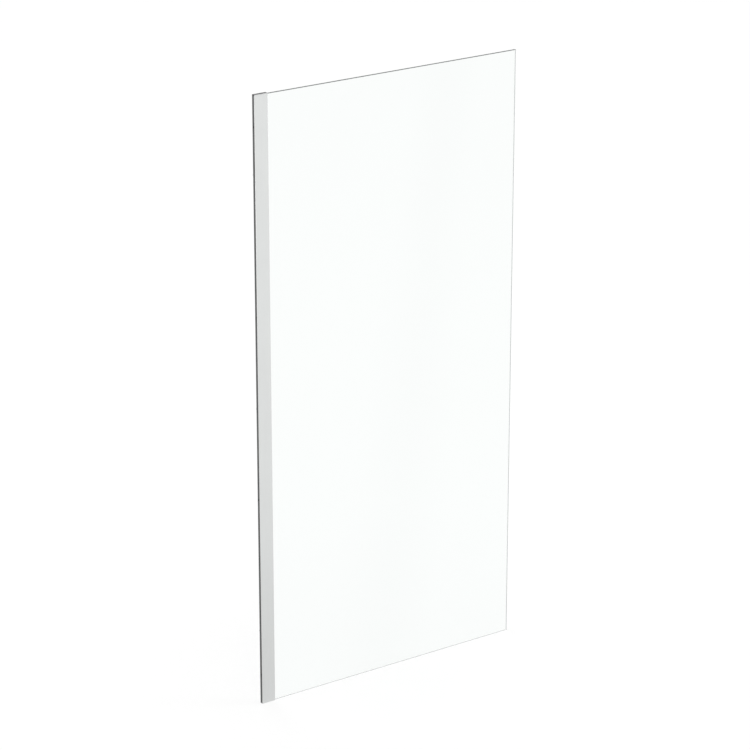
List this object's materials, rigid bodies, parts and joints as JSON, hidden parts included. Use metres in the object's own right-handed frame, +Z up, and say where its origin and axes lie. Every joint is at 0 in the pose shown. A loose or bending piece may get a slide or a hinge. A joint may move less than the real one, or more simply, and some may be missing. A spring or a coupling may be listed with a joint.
{
  "type": "walk-in shower screen",
  "caption": "Tall clear glass shower screen held along one side by a slim silver wall profile in two parts, which slides out to suit the wall and is locked by screws.",
  "frame": {"origin": "foot of the wall channel's wall face, midway through the screen's thickness, on the floor", "axes": "+X from the wall along the glass, +Y through the glass to the shower side where the locking screws are, +Z up"},
  "size_m": [0.975, 0.0169, 2],
  "materials": {
    "mill_aluminium": "plain extruded, dull grey",
    "satin_aluminium": "satin silver anodised",
    "clear_glass": "clear toughened, polished edges",
    "gasket": "soft translucent grey",
    "cap_plastic": "fine matt grey",
    "packer_plastic": "plain moulded",
    "plated_steel": "zinc plated",
    "stainless_steel": "stainless, turned",
    "seat_plastic": "plain moulded",
    "cover_plastic": "silver, softly glossy"
  },
  "bodies": {
    "wall_channel": {"wall_channel": "mill_aluminium"},
    "glass_screen": {"glass_profile": "satin_aluminium", "glass_panel": "clear_glass", "front_gasket": "gasket", "rear_gasket": "gasket", "top_cap": "cap_plastic", "lower_glass_block": "packer_plastic", "middle_glass_block": "packer_plastic", "upper_glass_block": "packer_plastic", "lower_nut_plate": "plated_steel", "middle_nut_plate": "plated_steel", "upper_nut_plate": "plated_steel", "lower_lock_screw": "stainless_steel", "middle_lock_screw": "stainless_steel", "upper_lock_screw": "stainless_steel", "lower_screw_seat": "seat_plastic", "middle_screw_seat": "seat_plastic", "upper_screw_seat": "seat_plastic", "lower_screw_cover": "cover_plastic", "middle_screw_cover": "cover_plastic", "upper_screw_cover": "cover_plastic"}
  },
  "joints": [
    {"name": "wall_adjustment", "type": "slide", "parent": "wall_channel", "child": "glass_screen", "axis": [1, 0, 0], "range_m": [0, 0.025]}
  ]
}
